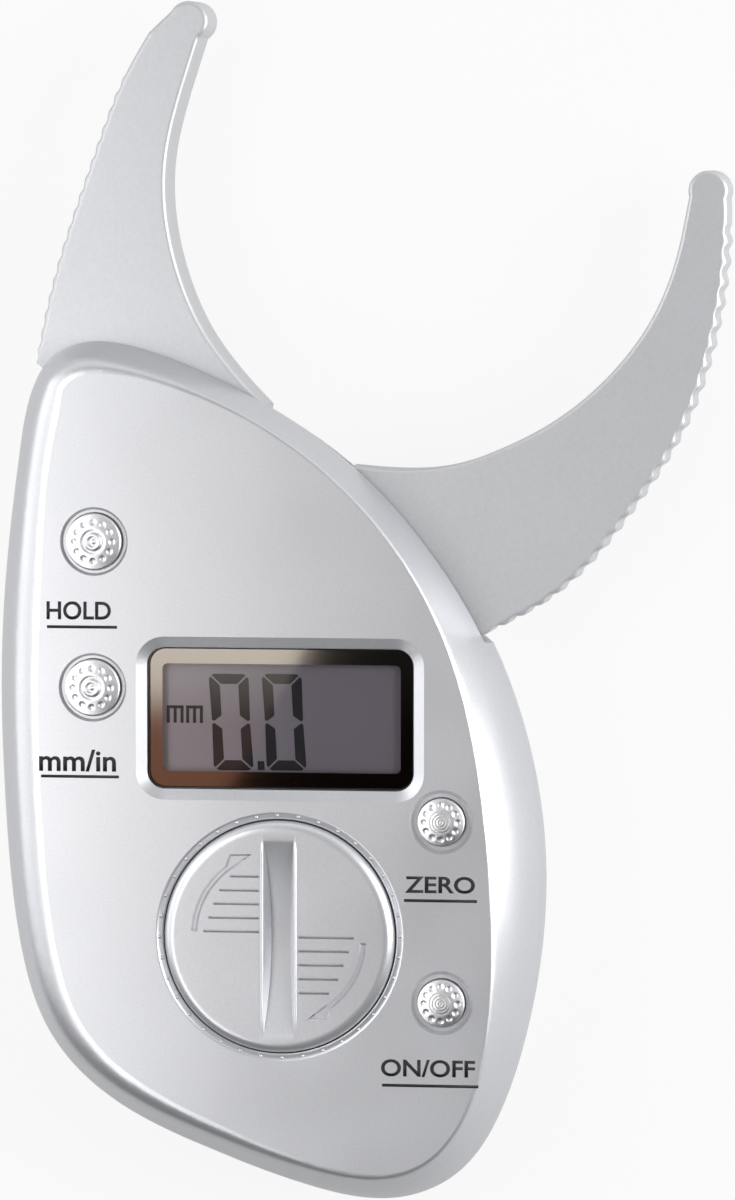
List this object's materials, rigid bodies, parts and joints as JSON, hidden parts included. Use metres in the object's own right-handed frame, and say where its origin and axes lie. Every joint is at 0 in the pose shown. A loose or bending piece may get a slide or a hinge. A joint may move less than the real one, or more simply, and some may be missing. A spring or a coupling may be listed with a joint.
{
  "type": "skinfold caliper",
  "caption": "Hand-held digital body-fat caliper: toothed fixed and hinged jaws, silver shell, display window, round push buttons and a coin-slot battery cover",
  "frame": {"origin": "on the moving jaw's pivot axis, in the plane of the flat back face", "axes": "+X to the right of the display, +Y towards the jaws, +Z out of the face with the display"},
  "size_m": [0.0827, 0.135, 0.0228],
  "materials": {
    "silver_shell": "satin silver paint on moulded plastic",
    "grey_jaw": "fine matte moulding",
    "silver_cover": "satin silver paint",
    "bright_button": "satin metallised plastic",
    "clear_lens": "polished clear window",
    "adhesive": "double-sided tape",
    "lcd_glass": "grey-green liquid-crystal glass",
    "black_plastic": "moulded",
    "white_plastic": "moulded",
    "zebra_rubber": "layered conductive rubber",
    "board": "glass-fibre board with solder mask",
    "small_parts": "ceramic and metal cans",
    "encoder": "copper track on film",
    "steel": "bright zinc plate",
    "spring_steel": "drawn spring wire",
    "cell_steel": "nickel plate",
    "brass": "sprung sheet",
    "seal_rubber": "soft black rubber",
    "washer_plastic": "low-friction polymer"
  },
  "bodies": {
    "housing": {"front_shell": "silver_shell", "rear_shell": "silver_shell", "fixed_jaw": "grey_jaw", "pivot_pin": "steel", "lower_washer": "washer_plastic", "upper_washer": "washer_plastic", "return_spring": "spring_steel", "encoder_stator": "encoder", "display_lens": "clear_lens", "lens_tape": "adhesive", "lcd_panel": "lcd_glass", "lcd_frame": "white_plastic", "zebra_strips": "zebra_rubber", "main_board": "board", "controller_chip": "black_plastic", "board_components": "small_parts", "tact_switches": "black_plastic", "battery_cell": "cell_steel", "battery_negative_contact": "brass", "battery_positive_contact": "brass", "case_screws": "steel", "board_screws": "steel"},
    "jaw": {"moving_jaw": "grey_jaw", "encoder_rotor": "encoder", "rotor_screws": "steel"},
    "battery_seal_ring": {"battery_seal": "seal_rubber"},
    "battery_lid": {"battery_cover": "silver_cover"},
    "button_hold": {"hold_button": "bright_button", "hold_plunger": "white_plastic"},
    "button_units": {"units_button": "bright_button", "units_plunger": "white_plastic"},
    "button_zero": {"zero_button": "bright_button", "zero_plunger": "white_plastic"},
    "button_power": {"power_button": "bright_button", "power_plunger": "white_plastic"}
  },
  "joints": [
    {"name": "jaw_pivot", "type": "hinge", "parent": "housing", "child": "jaw", "pos_m": [0, 0, 0.011], "axis": [0, 0, 1], "range_deg": [0, 54.5], "stiffness_Nm_per_rad": 0.03, "springref_deg": -17.19, "deforming": ["return_spring"]},
    {"name": "cover_rise", "type": "slide", "parent": "housing", "child": "battery_seal_ring", "axis": [0, 0, 1], "range_m": [0, 0.003]},
    {"name": "cover_turn", "type": "hinge", "parent": "battery_seal_ring", "child": "battery_lid", "pos_m": [-0.0014, -0.04065, 0.0222], "axis": [0, 0, -1], "range_deg": [0, 60]},
    {"name": "press_hold", "type": "slide", "parent": "housing", "child": "button_hold", "axis": [0, 0, -1], "range_m": [0, 0.0005], "stiffness_N_per_m": 4000, "springref_m": -0.0001},
    {"name": "press_units", "type": "slide", "parent": "housing", "child": "button_units", "axis": [0, 0, -1], "range_m": [0, 0.0005], "stiffness_N_per_m": 4000, "springref_m": -0.0001},
    {"name": "press_zero", "type": "slide", "parent": "housing", "child": "button_zero", "axis": [0, 0, -1], "range_m": [0, 0.0005], "stiffness_N_per_m": 4000, "springref_m": -0.0001},
    {"name": "press_power", "type": "slide", "parent": "housing", "child": "button_power", "axis": [0, 0, -1], "range_m": [0, 0.0005], "stiffness_N_per_m": 4000, "springref_m": -0.0001}
  ],
  "couplings": [
    {"joint": "cover_turn", "follows": "cover_rise", "rad_per_m": 349.07}
  ]
}
